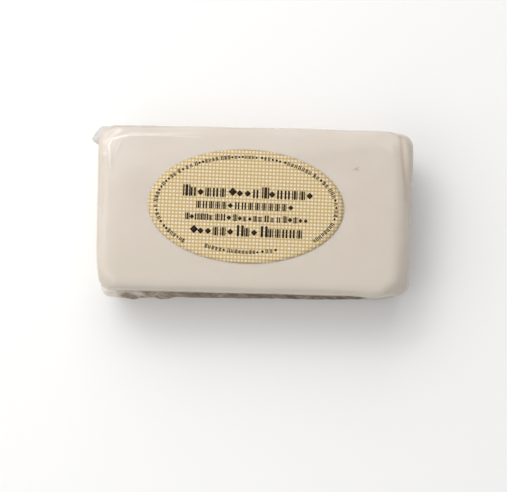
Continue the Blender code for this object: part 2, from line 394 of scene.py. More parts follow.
def settle(points, fin_share):
    """Where points of the true brick lie in the real block, with that share of the fin."""
    x, y, z = points.T
    up = smooth_step(z, TUCK_FOOT, TUCK_TOP)
    plan = [x.copy(), y.copy()]
    for axis in (0, 1):
        for corners, level in ((FACE_CORNERS, up), (BASE_CORNERS, 1 - up)):
            for (side, end), moved in corners.items():
                share = (0.5 + side * x / LENGTH) * (0.5 + end * y / WIDTH)
                plan[axis] += moved[axis] * level * share
        for side, end, reach_x, reach_y, moved in WORN_CORNERS:
            near_x = smooth_step(side * x - LENGTH / 2, -reach_x, 0.0)
            near_y = smooth_step(end * y - WIDTH / 2, -reach_y, 0.0)
            plan[axis] += moved[axis] * near_x * near_y
    length_share = np.maximum(0.0, 1 - (2 * x / LENGTH) ** 2)
    middle = (1 - abs(2 * x / LENGTH) ** CROWN_POWER) * (1 - abs(2 * y / WIDTH) ** CROWN_POWER)
    plan[1] += BACK_BOW * length_share * smooth_step(y, 0.0, WIDTH / 2)
    plan[1] -= swell(x, *EDGE_SWELL) * np.clip(-2 * y / WIDTH, 0.0, 1.0) ** EDGE_SWELL_POWER * up
    facing = outward(x, y)
    rise = z - SEAM_HEIGHT
    root = np.where(rise > 0, SEAM_ROOT_ABOVE, SEAM_ROOT_BELOW)
    profile = np.maximum(0.0, 1 - abs(rise) / root) ** SEAM_THINNESS
    for axis in (0, 1):
        plan[axis] += facing[axis] * seam_reach(x, y) * profile * fin_share
    on_wall = smooth_step(z, 0.0, EDGE_DROP) * smooth_step(HEIGHT - z, 0.0, EDGE_DROP)
    lift = seam_lift(x, y) * on_wall
    lift -= CROWN * (1 - middle) * smooth_step(z, HEIGHT / 2, HEIGHT)
    return np.stack([plan[0], plan[1], z + lift], axis=1)


def edge_place(x, y, inset):
    """Where a place lies on the rounded edge: its width there, and the share of it from crease to foot.

    The crease turns each corner on a wider arc than the foot does.
    """
    radius = np.where(y > 0, BACK_CREASE_RADIUS, FRONT_CREASE_RADIUS)
    edge_x = np.where(x > 0, RIGHT_EDGE, EDGE_ROUND) - inset
    edge_y = EDGE_ROUND - inset
    across = np.maximum(0.0, abs(x) - (LENGTH / 2 - inset - edge_x - radius))
    along = np.maximum(0.0, abs(y) - (WIDTH / 2 - inset - edge_y - radius))
    away = np.maximum(np.hypot(across, along), 1e-9)
    way_x, way_y = across / away, along / away
    far_x = radius + edge_x
    far_y = radius + edge_y
    straight = np.minimum(far_x / np.maximum(way_x, 1e-9), far_y / np.maximum(way_y, 1e-9))
    arc = EDGE_ROUND - inset
    middle = way_x * (far_x - arc) + way_y * (far_y - arc)
    under_root = middle**2 - (far_x - arc) ** 2 - (far_y - arc) ** 2 + arc**2
    on_arc = (way_x * straight > far_x - arc) & (way_y * straight > far_y - arc)
    foot = np.where(on_arc, middle + np.sqrt(np.maximum(0.0, under_root)), straight)
    width = foot - radius
    return width, np.clip((away - radius) / width, 0.0, 1.0)


def edge_fall(width, share):
    """How far the surface has fallen there: along an arc, then over a tight lip at its foot."""
    arc = np.maximum(EDGE_ARC, LEAST_ARC * width)
    return arc - np.sqrt(arc**2 - (width * share) ** 2) + LIP_DROP * (1 - np.sqrt(1 - share**LIP_POWER))


def shape_edges(brick, inset):
    """Gives a brick's face and base the real edge, and draws its walls down to meet it."""
    width, share = edge_place(brick[:, 0], brick[:, 1], inset)
    fall = edge_fall(width, share)
    extra = np.maximum(0.0, edge_fall(width, 1.0) - EDGE_DROP)
    height = brick[:, 2]
    from_end = np.minimum(height, HEIGHT - height)
    drawn = from_end + extra * (1 - smooth_step(from_end, EDGE_DROP, WALL_DRAWN))
    shaped = np.where(from_end < EDGE_DROP, np.minimum(fall + inset, drawn), drawn)
    made = brick.copy()
    made[:, 2] = np.where(height > HEIGHT / 2, HEIGHT - shaped, shaped)
    return made


def fold_height(points):
    """How far the tight film's folds stand above the face's edges there."""
    height = np.zeros(len(points))
    for fold in TIGHT_FOLDS:
        line = np.array(fold)[:, :2] * MM
        strength = np.array(fold)[:, 2]
        nearest = np.full(len(points), 1.0)
        there = np.zeros(len(points))
        for number, step in enumerate(np.diff(line, axis=0)):
            off = points[:, :2] - line[number]
            share = np.clip(off @ step / (step @ step), 0.0, 1.0)
            away = np.hypot(*(off - share[:, None] * step).T)
            own = strength[number] + share * (strength[number + 1] - strength[number])
            there = np.where(away < nearest, own, there)
            nearest = np.minimum(nearest, away)
        height = np.maximum(height, there * np.exp(-((nearest / FOLD_HALF_WIDTH) ** 2)))
    return FOLD_RISE * height * smooth_step(points[:, 2], TUCK_FOOT, TUCK_TOP)


def face_height(x, y):
    """The labelled face's height at these places."""
    return settle(np.stack([x, y, np.full_like(x, HEIGHT)], axis=1), 0.0)[:, 2]


def soft_noise(points, cell, seed):
    """Smooth noise from -1 to 1 over cells of that size, a number or one for each axis."""
    table = np.random.default_rng(seed).uniform(-1, 1, (NOISE_CELLS,) * 3)
    place = points / np.asarray(cell) + NOISE_CELLS
    low = np.floor(place).astype(int)
    part = place - low
    part = part * part * (3 - 2 * part)
    value = 0.0
    for corner in np.ndindex(2, 2, 2):
        share = np.prod(np.where(corner, part, 1 - part), axis=1)
        index = (low + corner) % NOISE_CELLS
        value = value + share * table[index[:, 0], index[:, 1], index[:, 2]]
    return value


def lengths_along(line):
    """How far along a line of points each of them lies."""
    return np.concatenate([[0], np.cumsum(np.hypot(*np.diff(line, axis=0).T))])


# Building with Geometry Nodes


def shape_tree(name, inputs):
    """An empty Geometry Nodes tree with these named inputs, its input node and its output node."""
    kinds = {int: "NodeSocketInt", float: "NodeSocketFloat"}
    tree = bpy.data.node_groups.new(name, "GeometryNodeTree")
    sockets = tree.interface
    sockets.new_socket("Geometry", in_out="OUTPUT", socket_type="NodeSocketGeometry")
    sockets.new_socket("Geometry", in_out="INPUT", socket_type="NodeSocketGeometry")
    for label, value in inputs.items():
        kind = kinds.get(type(value), "NodeSocketMaterial")
        socket = sockets.new_socket(label, in_out="INPUT", socket_type=kind)
        socket.default_value = value
    return tree, add(tree, "NodeGroupInput").outputs, add(tree, "NodeGroupOutput")


def finish_tree(tree, end, geometry, material):
    """Ends a tree in Realize Instances and Set Material."""
    real = add(tree, "GeometryNodeRealizeInstances", {"Geometry": geometry})
    skin = add(
        tree, "GeometryNodeSetMaterial", {"Geometry": real.outputs["Geometry"], "Material": material}
    )
    tree.links.new(skin.outputs["Geometry"], end.inputs["Geometry"])


def new_object(name, data):
    """An object with this data, in the scene."""
    made = bpy.data.objects.new(name, data)
    bpy.context.scene.collection.objects.link(made)
    return made


def grow(name, guide, tree, values):
    """An object with the plain mesh that the tree makes of a guide mesh, with these inputs."""
    piece = new_object(name, guide)
    modifier = piece.modifiers.new("shape", "NODES")
    modifier.node_group = tree
    for item in tree.interface.items_tree:
        if item.in_out == "INPUT" and item.name in values:
            modifier[item.identifier] = values[item.name]
    graph = bpy.context.evaluated_depsgraph_get()
    made = bpy.data.meshes.new_from_object(piece.evaluated_get(graph), depsgraph=graph)
    piece.modifiers.remove(modifier)
    piece.data = made
    made.name = name
    if made.materials[0] is None:
        made.materials.pop(index=0)
    return piece


def read_points(mesh, what="co"):
    """Where a mesh's points lie, one to a row, or with normal, which way it faces there."""
    values = np.empty(len(mesh.vertices) * 3)
    mesh.vertices.foreach_get(what, values)
    return values.reshape(-1, 3)


def write_points(mesh, points):
    """Moves a mesh's points to these places."""
    mesh.vertices.foreach_set("co", points.astype(np.float32).ravel())
    mesh.update()


def push_out(mesh, moved):
    """Moves each of a mesh's points that far outward."""
    write_points(mesh, read_points(mesh) + read_points(mesh, "normal") * moved[:, None])


def dress(piece, slot, *nodes):
    """Joins a finished piece to the block: its body and the nodes that it stands for. Its slot is not used.
    """
    piece.data.shade_smooth()
    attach(piece, "root")
    if nodes:
        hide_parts(*nodes)


def cube_of_cells(tree, given):
    """A cube of the block's size less its inset, in even cells, and the size of its sides."""
    size = []
    count = []
    for label in ("Length", "Width", "Height"):
        twice = add(tree, MATH, {0: given["Inset"], 1: 2.0}, "MULTIPLY")
        side = add(tree, MATH, {0: given[label], 1: twice}, "SUBTRACT")
        cells = add(tree, MATH, {0: side, 1: given["Cell"]}, "DIVIDE")
        size.append(side)
        count.append(add(tree, MATH, {0: cells}, "CEIL"))
    sides = add(tree, VECTOR, dict(zip("XYZ", size)))
    cube = add(
        tree,
        "GeometryNodeMeshCube",
        {"Size": sides, "Vertices X": count[0], "Vertices Y": count[1], "Vertices Z": count[2]},
    )
    return cube.outputs["Mesh"], sides


def elliptical_edges(tree, given, sides):
    """Where a cube's points go as its edges are rounded to ellipses of that fullness."""
    rounds = []
    for label in ("Edge Round", "Edge Round", "Edge Drop"):
        node = add(tree, MATH, {0: given[label], 1: given["Inset"]}, "SUBTRACT")
        rounds.append(node)
    radius = add(tree, VECTOR, dict(zip("XYZ", rounds)))
    half = add(tree, VECTORS, {0: sides, 1: (0.5, 0.5, 0.5)}, "MULTIPLY")
    core = add(tree, VECTORS, {0: half, 1: radius}, "SUBTRACT")
    core_low = add(tree, VECTORS, {0: core, 1: (-1.0, -1.0, -1.0)}, "MULTIPLY")
    place = add(tree, "GeometryNodeInputPosition")
    low = add(tree, VECTORS, {0: place, 1: core_low}, "MAXIMUM")
    inner = add(tree, VECTORS, {0: low, 1: core}, "MINIMUM")
    away = add(tree, VECTORS, {0: place, 1: inner}, "SUBTRACT")
    share = add(tree, VECTORS, {0: away, 1: radius}, "DIVIDE")
    parts = add(tree, PARTS, {0: share})
    flat_share = add(tree, VECTOR, {"X": parts.outputs["X"], "Y": parts.outputs["Y"]})
    in_plan = add(tree, VECTORS, {0: flat_share}, "LENGTH")
    drop = add(tree, MATH, {0: parts.outputs["Z"]}, "ABSOLUTE")
    powers = [
        add(tree, MATH, {0: amount, 1: given["Edge Fullness"]}, "POWER")
        for amount in (in_plan.outputs["Value"], drop)
    ]
    both = add(tree, MATH, {0: powers[0], 1: powers[1]}, "ADD")
    inverse = add(tree, MATH, {0: -1.0, 1: given["Edge Fullness"]}, "DIVIDE")
    shrink = add(tree, MATH, {0: both, 1: inverse}, "POWER")
    turn = add(tree, VECTORS, {0: share, "Scale": shrink}, "SCALE")
    return add(tree, VECTORS, {0: turn, 1: radius, 2: inner}, "MULTIPLY_ADD")


def rounded_block_tree():
    """A block that stands on the ground, with elliptical edges, from a cube of even cells."""
    tree, given, end = shape_tree(
        "rounded block",
        {
            "Length": LENGTH,
            "Width": WIDTH,
            "Height": HEIGHT,
            "Edge Round": EDGE_ROUND,
            "Edge Drop": EDGE_DROP,
            "Edge Fullness": EDGE_FULLNESS,
            "Inset": 0.0,
            "Cell": 1.0 * MM,
            "Material": None,
        },
    )
    cube, sides = cube_of_cells(tree, given)
    curve = elliptical_edges(tree, given, sides)
    rise = add(tree, MATH, {0: given["Height"], 1: 0.5}, "MULTIPLY")
    up = add(tree, VECTOR, {"Z": rise})
    block = add(tree, "GeometryNodeSetPosition", {"Geometry": cube, "Position": curve, "Offset": up})
    finish_tree(tree, end, block.outputs["Geometry"], given["Material"])
    return tree


def swept_section(tree, given):
    """A circle swept along the guide line. Attributes keep each point's place on both."""
    stored = add(tree, "GeometryNodeMeshToCurve", {"Mesh": given["Geometry"]})
    place = add(tree, "GeometryNodeInputPosition")
    tangent = add(tree, "GeometryNodeInputTangent")
    for label, value in (("root", place), ("along", tangent)):
        stored = add(tree, STORE, {**ON_POINTS, "Name": label, "Geometry": stored, "Value": value})
    loop = add(
        tree, "GeometryNodeCurvePrimitiveCircle", {"Radius": 1.0, "Resolution": given["Profile Points"]}
    )
    kept = {**ON_POINTS, "Name": "section", "Geometry": loop.outputs["Curve"], "Value": place}
    section = add(tree, STORE, kept)
    return add(tree, "GeometryNodeCurveToMesh", {"Curve": stored, "Profile Curve": section})


def fin_lift(tree, given, root, along, across, left, section_height):
    """How far a point of the fin is lifted: half the film's thickness, its ruffle and its sag."""
    skewed = add(tree, MATH, {0: across, 1: given["Skew"]}, "MULTIPLY")
    lean = add(tree, VECTORS, {0: along, 1: skewed, 2: root}, "MULTIPLY_ADD")
    often = add(tree, MATH, {0: 1.0, 1: given["Ruffle Length"]}, "DIVIDE")
    wave = add(
        tree,
        NOISE,
        {"Detail": 2.0, "Roughness": 0.55, "Distortion": 0.4, "Vector": lean, "Scale": often},
    )
    swing = add(tree, MATH, {0: wave, 1: 2.0, 2: -1.0}, "MULTIPLY_ADD")
    loose = add(tree, MATH, {0: swing, 1: across}, "MULTIPLY")
    ruffle = add(tree, MATH, {0: loose, 1: given["Ruffle"]}, "MULTIPLY")
    middle = add(tree, MATH, {0: across, 1: left}, "MULTIPLY")
    sag = add(tree, MATH, {0: middle, 1: given["Sag"]}, "MULTIPLY")
    hung = add(tree, MATH, {0: sag, 1: -4.0, 2: ruffle}, "MULTIPLY_ADD")
    half = add(tree, MATH, {0: given["Thickness"], 1: 0.5}, "MULTIPLY")
    height = add(tree, MATH, {0: section_height, 1: half, 2: hung}, "MULTIPLY_ADD")
    return add(tree, VECTOR, {"Z": height})


def fin_tree():
    """A thin waved fin along a closed guide line, whose points say how far and which way it goes."""
    tree, given, end = shape_tree(
        "film fin",
        {
            "Rooted Share": 0.08,
            "Thickness": 0.14 * MM,
            "Profile Points": 24,
            "Ruffle": 0.5 * MM,
            "Ruffle Length": 3.0 * MM,
            "Skew": 4.0 * MM,
            "Sag": 0.3 * MM,
            "Material": None,
        },
    )
    sweep = swept_section(tree, given)
    root, along, cut, reach = [
        add(tree, "GeometryNodeInputNamedAttribute", {"data_type": "FLOAT_VECTOR", "Name": label})
        for label in ("root", "along", "section", "reach")
    ]
    parts = add(tree, PARTS, {0: cut})
    across = add(tree, MATH, {0: parts.outputs["X"], 1: 0.5, 2: 0.5}, "MULTIPLY_ADD")
    left = add(tree, MATH, {0: 1.0, 1: across}, "SUBTRACT")
    inward = add(tree, MATH, {0: left, 1: given["Rooted Share"]}, "MULTIPLY")
    share = add(tree, MATH, {0: across, 1: inward}, "SUBTRACT")
    spread = add(tree, VECTORS, {0: reach, 1: share, 2: root}, "MULTIPLY_ADD")
    lift = fin_lift(tree, given, root, along, across, left, parts.outputs["Y"])
    fin = add(tree, "GeometryNodeSetPosition", {"Geometry": sweep, "Position": spread, "Offset": lift})
    outside = add(tree, "GeometryNodeFlipFaces", {"Mesh": fin.outputs["Geometry"]})
    finish_tree(tree, end, outside.outputs["Mesh"], given["Material"])
    return tree


def kit_of_marks(tree):
    kit = add(tree, "GeometryNodeJoinGeometry")
    for blocks in reversed(MARK_KIT):
        mark = add(tree, "GeometryNodeJoinGeometry")
        for x, y, width, height, turned in blocks:
            cube = add(tree, "GeometryNodeMeshCube", {"Size": (width, height, 1.0)})
            moved = add(
                tree,
                "GeometryNodeTransform",
                {
                    "Translation": (x, y, 0.5),
                    "Rotation": (0.0, 0.0, math.radians(turned)),
                    "Geometry": cube.outputs["Mesh"],
                },
            )
            give(tree, mark.inputs[0], moved)
        one = add(tree, "GeometryNodeGeometryToInstance", {"Geometry": mark})
        give(tree, kit.inputs[0], one)
    return kit


def spaced_points(tree, given):
    """Points along each guide line. Attributes keep their order on it and its way there."""
    curve = add(tree, "GeometryNodeMeshToCurve", {"Mesh": given["Geometry"]})
    stored = add(
        tree, "GeometryNodeResampleCurve", {"mode": "LENGTH", "Curve": curve, "Length": given["Spacing"]}
    )
    order = add(tree, "GeometryNodeSplineParameter")
    tangent = add(tree, "GeometryNodeInputTangent")
    for label, kind, value in (("order", "INT", order.outputs["Index"]), ("way", "FLOAT_VECTOR", tangent)):
        kept = {**ON_POINTS, "data_type": kind, "Name": label, "Geometry": stored, "Value": value}
        stored = add(tree, STORE, kept)
    points = add(tree, "GeometryNodeCurveToPoints", {"mode": "EVALUATED", "Curve": stored})
    return points.outputs["Points"]


def mark_size(tree, given):
    """A mark's size: the first of each line has its own height, and the rest vary."""
    number = add(tree, "GeometryNodeInputNamedAttribute", {"data_type": "INT", "Name": "order"})
    later = add(
        tree, "FunctionNodeCompare", {"data_type": "INT", "operation": "GREATER_THAN", "B": 0, "A": number}
    )
    share = add(
        tree,
        "FunctionNodeRandomValue",
        {"data_type": "FLOAT", "Max": 1.0, "Min": given["Lowest Share"], "Seed": given["Seed"]},
    )
    usual = add(tree, MATH, {0: given["Mark Height"], 1: share.outputs[1]}, "MULTIPLY")
    tall = add(
        tree,
        "GeometryNodeSwitch",
        {"input_type": "FLOAT", "Switch": later, "False": given["First Height"], "True": usual},
    )
    return add(tree, VECTOR, {"X": tall, "Y": tall, "Z": given["Ink"]})


def marks_tree():
    tree, given, end = shape_tree(
        "printed marks",
        {
            "Spacing": 1.0 * MM,
            "Mark Height": 3.0 * MM,
            "First Height": 3.0 * MM,
            "Lowest Share": 1.0,
            "Ink": INK_THICKNESS,
            "Seed": 1,
            "Material": None,
        },
    )
    way = add(tree, "GeometryNodeInputNamedAttribute", {"data_type": "FLOAT_VECTOR", "Name": "way"})
    turn = add(tree, "FunctionNodeAlignRotationToVector", {"axis": "X", "pivot_axis": "Z", "Vector": way})
    pick = add(
        tree,
        "FunctionNodeRandomValue",
        {"data_type": "INT", "Min": 0, "Max": len(MARK_KIT) - 1, "Seed": given["Seed"]},
    )
    rows = add(
        tree,
        "GeometryNodeInstanceOnPoints",
        {
            "Pick Instance": True,
            "Points": spaced_points(tree, given),
            "Instance": kit_of_marks(tree),
            "Instance Index": pick.outputs[2],
            "Rotation": turn,
            "Scale": mark_size(tree, given),
        },
    )
    finish_tree(tree, end, rows.outputs["Instances"], given["Material"])
    return tree


# Materials


def new_material(name):
    """A material, its tree, its Principled node and its place in the block's own frame."""
    material = bpy.data.materials.new(name)
    material.use_nodes = True
    tree = material.node_tree
    tree.nodes.clear()
    surface = add(tree, "ShaderNodeBsdfPrincipled")
    add(tree, "ShaderNodeOutputMaterial", {"Surface": surface})
    place = add(tree, "ShaderNodeTexCoord").outputs["Object"]
    return material, tree, surface, place


def coat(tree, surface, settings, relief=None):
    """Gives the surface its colour, its constants and a relief: its strength, depth and form."""
    if relief:
        bump = add(tree, "ShaderNodeBump", dict(zip(("Strength", "Distance", "Height"), relief)))
        give(tree, surface.inputs["Normal"], bump)
    for name, value in settings.items():
        give(tree, surface.inputs[name], value)


def lay_colours(tree, colour, *layers):
    """A colour under layers of others, each with the share of it that shows."""
    for share, other in layers:
        mixed = {"data_type": "RGBA", "A": colour, "B": other, "Factor": share}
        colour = add(tree, "ShaderNodeMix", mixed)
    return colour


def ramp(tree, value, start, end, low=0.0, high=1.0):
    """Where value lies from start to end, as a smooth step from low to high."""
    return add(
        tree,
        "ShaderNodeMapRange",
        {
            "interpolation_type": "SMOOTHSTEP",
            "From Min": start,
            "From Max": end,
            "To Min": low,
            "To Max": high,
            "Value": value,
        },
    )


def soft_spots(tree, place, spots):
    """Each spot's strength on it and 0 off them all.

    A spot is its middle, half length and half width in millimetres, its turn in degrees and
    its strength.
    """
    most = None
    for x, y, half_length, half_width, turned, strength in spots:
        own = add(
            tree,
            "ShaderNodeMapping",
            {
                "vector_type": "TEXTURE",
                "Location": (x * MM, y * MM, 0.0),
                "Rotation": (0.0, 0.0, math.radians(turned)),
                "Scale": (half_length * MM, half_width * MM, 1.0),
                "Vector": place,
            },
        )
        away = add(tree, VECTORS, {0: own}, "LENGTH")
        shown = ramp(tree, away.outputs["Value"], SPOT_CORE, 1.0, strength, 0.0)
        if most is None:
            most = shown
        else:
            most = add(tree, MATH, {0: most, 1: shown}, "MAXIMUM")
    return most


def crease_place(y):
    """How far right the crease near the block's right end lies at that y."""
    down = CREASE_START[1] - y
    return CREASE_START[0] + CREASE_LEAN * down + CREASE_BEND * down * down


def crease_tint_and_shade(tree, axes, above):
    """How far the cheese is tinted tan along its crease, its own tone there and painted shade in the
    groove, on the line that crease_place gives.
    """
    down = add(tree, MATH, {0: CREASE_START[1], 1: axes.outputs["Y"]}, "SUBTRACT")
    bend = add(tree, MATH, {0: down, 1: CREASE_BEND, 2: CREASE_LEAN}, "MULTIPLY_ADD")
    line = add(tree, MATH, {0: down, 1: bend, 2: CREASE_START[0]}, "MULTIPLY_ADD")
    off = add(tree, MATH, {0: axes.outputs["X"], 1: line}, "SUBTRACT")
    gap = add(tree, MATH, {0: off}, "ABSOLUTE")
    near = ramp(tree, gap, 0.0, CREASE_HALF_WIDTH, CREASE_STRENGTH, 0.0)
    from_end = ramp(tree, axes.outputs["Y"], CREASE_END, CREASE_END + CREASE_FADE)
    in_reach = add(tree, MATH, {0: from_end, 1: above}, "MULTIPLY")
    return add(tree, MATH, {0: near, 1: in_reach}, "MULTIPLY")


def pressed_goat_cheese():
    """Goat's cheese, pressed and cut: ivory and compact, faintly clouded, and light goes in a little. Its
    colour holds painted shade towards the front and in its tan crease.
    """
    material, tree, surface, place = new_material("pressed goat cheese, cut smooth")
    clouds, curd = (
        add(tree, NOISE, {"Scale": 1 / size, "Detail": detail, "Roughness": rough, "Vector": place})
        for size, detail, rough in ((CLOUD_SIZE, 3.0, 0.5), (CURD_SIZE, 2.0, 0.6))
    )
    axes = add(tree, PARTS, {0: place})
    above = ramp(tree, axes.outputs["Z"], FACE_FROM, FACE_FULL)
    flaws = soft_spots(tree, place, SMALL_FLAWS)
    colour = lay_colours(
        tree,
        "#e0d5c9",
        (ramp(tree, clouds, 0.35, 0.65), "#e6dcd2"),
        # Towards the front the cheese is painted darker and warmer: painted shade.
        (ramp(tree, axes.outputs["Y"], *PAINTED_FRONT_SHADE, 0.0, 0.7), "#e0d8c9"),
        (ramp(tree, curd, 0.3, 0.7, 0.0, 0.35), "#dbcfbf"),
        # The crease's tan tint: the cheese's own tone there and painted shade in the groove.
        (crease_tint_and_shade(tree, axes, above), "#b89e7a"),
        (add(tree, MATH, {0: flaws, 1: above}, "MULTIPLY"), "#8f7c66"),
    )
    settings = {
        "Base Color": colour,
        "Roughness": 0.22,
        "IOR": 1.5,
        "Specular IOR Level": 0.35,
        "Subsurface Weight": 0.25,
        "Subsurface Radius": (1.0, 0.75, 0.5),
        "Subsurface Scale": 2.0 * MM,
    }
    coat(tree, surface, settings, (0.15, 0.06 * MM, curd))
    return material


def fold_highlight_spots():
    """A long thin spot of painted highlight, with the film's whitening, over each step of the tight film's
    folds.
    """
    spots = []
    for fold in TIGHT_FOLDS:
        for (x, y, strength), (next_x, next_y, next_strength) in zip(fold, fold[1:]):
            length = math.hypot(next_x - x, next_y - y)
            turned = math.degrees(math.atan2(next_y - y, next_x - x))
            share = FOLD_HIGHLIGHT_MOST * (strength + next_strength) / 2
            middle = ((x + next_x) / 2, (y + next_y) / 2)
            spots.append((*middle, 1.1 * length, FOLD_HIGHLIGHT_HALF_WIDTH, turned, share))
    return spots


def clear_shrink_film():
    """Clear film shrunk tight with hot air: glossy and faintly rippled, and painted whiter along its folds
    as a painted highlight.
    """
    material, tree, surface, place = new_material("clear shrink film, drawn tight")
    ripples = add(tree, NOISE, {"Scale": 1 / RIPPLE_SIZE, "Detail": 1.0, "Roughness": 0.4, "Vector": place})
    highlight_along_folds = soft_spots(tree, place, fold_highlight_spots())
    axes = add(tree, PARTS, {0: place})
    above = ramp(tree, axes.outputs["Z"], FACE_FROM, FACE_FULL)
    fold_highlight = add(tree, MATH, {0: highlight_along_folds, 1: above}, "MULTIPLY")
    # Along the folds the film is painted whiter: a painted highlight.
    colour = lay_colours(tree, "#ded5c8", (fold_highlight, "#fffcf5"))
    settings = {
        "Base Color": colour,
        "Roughness": 0.08,
        "IOR": 1.5,
        "Specular IOR Level": 1.0,
        "Alpha": 0.4,
    }
    coat(tree, surface, settings, (0.2, 0.12 * MM, ripples))
    return material


def gathered_film():
    """The same film where it is sealed and gathered in folds: greyer, hazy and half clear. In front its
    colour is painted: lighter on the clear gusset as painted light, dark brown to the right as painted
    shade, and lighter on its lit folds as painted highlights.
    """
    material, tree, surface, place = new_material("shrink film, sealed and gathered")
    stretch = add(
        tree,
        "ShaderNodeMapping",
        {
            "vector_type": "TEXTURE",
            "Rotation": (0.0, 0.0, GATHER_TURN),
            "Scale": (GATHER_STRETCH, 1.0, 1.0),
            "Vector": place,
        },
    )
    folds = add(
        tree,
        NOISE,
        {"Scale": 1 / GATHER_SIZE, "Detail": 3.0, "Roughness": 0.6, "Distortion": 0.5, "Vector": stretch},
    )
    axes = add(tree, PARTS, {0: place})
    right_of_gusset = ramp(tree, axes.outputs["X"], *GUSSET_END)
    in_lobe = soft_spots(tree, place, (SHADED_LOBE,))
    in_front = ramp(tree, axes.outputs["Y"], *FRONT_FILM)
    painted_shade_place = add(tree, MATH, {0: right_of_gusset, 1: in_lobe}, "MAXIMUM")
    painted_shade_share = add(tree, MATH, {0: painted_shade_place, 1: in_front}, "MULTIPLY")
    share = ramp(tree, folds, 0.38, 0.64)
    # In front, the thin film is painted lighter and warmer: painted light.
    greyer = lay_colours(tree, "#c8c2b9", (in_front, "#dfd3c2"))
    clearer = lay_colours(tree, "#dfdbd5", (in_front, "#f6ecdf"))
    thin = lay_colours(tree, greyer, (share, clearer))
    # Dark brown painted shade in front, darker further right.
    in_shade = ramp(tree, axes.outputs["X"], *DEEP_SHADE)
    darker = lay_colours(tree, "#93806b", (in_shade, "#705f4e"))
    lighter = lay_colours(tree, "#c3b29b", (in_shade, "#a3917a"))
    painted_shade_colour = lay_colours(tree, darker, (share, lighter))
    gathered = lay_colours(tree, thin, (painted_shade_share, painted_shade_colour))
    # Lighter colour on the folds that catch the light: painted highlights.
    colour = lay_colours(tree, gathered, (soft_spots(tree, place, LIT_FOLDS), "#ebe1d5"))
    settings = {"Base Color": colour, "Roughness": 0.28, "IOR": 1.5, "Alpha": 0.7}
    coat(tree, surface, settings, (0.6, 0.3 * MM, folds))
    return material


def weave_cells(tree, place):
    """The weave's square cell at a place, and how far from its middle, by a rounded square."""
    centred = add(
        tree,
        "ShaderNodeMapping",
        {
            "vector_type": "TEXTURE",
            "Rotation": (0, 0, LABEL_TURN),
            "Location": LABEL_CENTRE,
            "Vector": place,
        },
    )
    cells = add(tree, VECTORS, {0: centred, "Scale": 1 / WEAVE_PITCH}, "SCALE")
    flat = add(tree, VECTORS, {0: cells, 1: (1.0, 1.0, 0.0)}, "MULTIPLY")
    cell = add(tree, VECTORS, {0: flat}, "FLOOR")
    part = add(tree, VECTORS, {0: flat}, "FRACTION")
    off = add(tree, VECTORS, {0: part, 1: (0.5, 0.5, 0.0)}, "SUBTRACT")
    flattened = add(tree, VECTORS, {0: off, 1: (1.0, DOT_FLATNESS, 0.0)}, "MULTIPLY")
    size = add(tree, VECTORS, {0: flattened}, "ABSOLUTE")
    axes = add(tree, PARTS, {0: size})
    powers = [add(tree, MATH, {0: axes.outputs[axis], 1: DOT_SQUARENESS}, "POWER") for axis in ("X", "Y")]
    total = add(tree, MATH, {0: powers[0], 1: powers[1]}, "ADD")
    radius = add(tree, MATH, {0: total, 1: 1 / DOT_SQUARENESS}, "POWER")
    return cell, radius


def woven_print_paper():
    """Matt label paper, printed with a two-colour basket weave: light dots on golden lines."""
    material, tree, surface, place = new_material("label paper, weave printed")
    cell, radius = weave_cells(tree, place)
    in_dot = ramp(tree, radius, *DOT_EDGE, 1.0, 0.0)
    at_crossing = ramp(tree, radius, *CROSSING_EDGE)
    which = add(tree, "ShaderNodeTexWhiteNoise", {"noise_dimensions": "3D", "Vector": cell})
    checker = add(tree, VECTORS, {0: cell, 1: (0.5, 0.5, 0.0)}, "DOT_PRODUCT")
    parity = add(tree, MATH, {0: checker.outputs["Value"]}, "FRACT")
    blend = add(tree, MATH, {0: which, 1: 0.9, 2: parity}, "MULTIPLY_ADD")
    dot = lay_colours(tree, "#e3d9c4", (ramp(tree, blend, 0.2, 1.1), "#e2cda3"))
    lines = lay_colours(tree, "#c0a672", (at_crossing, "#b49a6c"))
    colour = lay_colours(tree, lines, (in_dot, dot))
    fibres = add(tree, NOISE, {"Scale": 1 / FIBRE_SIZE, "Detail": 2.0, "Vector": place})
    settings = {"Base Color": colour, "Roughness": 0.62, "IOR": 1.45}
    coat(tree, surface, settings, (0.1, 0.02 * MM, fibres))
    return material


def dark_label_ink():
    """Brown-black ink, pressed on: nearly matt, a little uneven where it sank into the paper."""
    material, tree, surface, place = new_material("brown-black printing ink")
    sink = add(tree, NOISE, {"Scale": 1 / INK_SINK_SIZE, "Detail": 2.0, "Vector": place})
    colour = lay_colours(tree, "#191009", (ramp(tree, sink, 0.3, 0.7), "#2a1d0e"))
    coat(tree, surface, {"Base Color": colour, "Roughness": 0.5, "Specular IOR Level": 0.2})
    return material


# Pieces


def whole_form(name, block, inset, cell, fin_share, material):
    """The block's whole form as an object, the brick that it was made from, and its points."""
    values = {"Inset": inset, "Cell": cell, "Material": material}
    piece = grow(name, bpy.data.meshes.new("guide"), block, values)
    brick = shape_edges(read_points(piece.data), inset)
    write_points(piece.data, settle(brick, fin_share))
    return piece, brick, read_points(piece.data)


